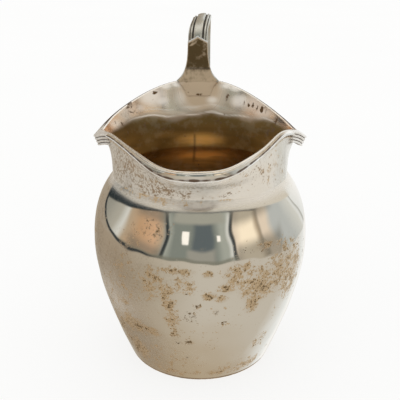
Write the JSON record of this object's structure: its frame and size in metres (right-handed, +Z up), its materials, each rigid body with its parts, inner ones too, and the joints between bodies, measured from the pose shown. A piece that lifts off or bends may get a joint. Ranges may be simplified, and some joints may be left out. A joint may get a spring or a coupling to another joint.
{
  "type": "cream jug",
  "caption": "Small silver cream jug with a round waisted bowl, broad pouring lip, raised back collar, reeded edging and a high looped strap handle.",
  "frame": {"origin": "centre of the base disc's underside, on the surface the jug stands on", "axes": "+Z up along the bowl's axis, -Y towards the pouring lip, +Y towards the handle, +X to the right seen from the lip"},
  "size_m": [0.0726, 0.1072, 0.113],
  "materials": {
    "bowl_silver": "worn polished silver with brown tarnish speckle",
    "mouth_silver": "worn polished silver, golden brown inside",
    "base_silver": "dull silver",
    "edging_silver": "polished silver with dark grooves",
    "handle_silver": "polished silver with dark grooves"
  },
  "bodies": {
    "root": {"bowl": "bowl_silver", "mouth": "mouth_silver", "base_disc": "base_silver", "lip_wire": "edging_silver", "collar_border": "edging_silver", "handle_tongue": "handle_silver", "handle_strap": "handle_silver"}
  },
  "joints": []
}
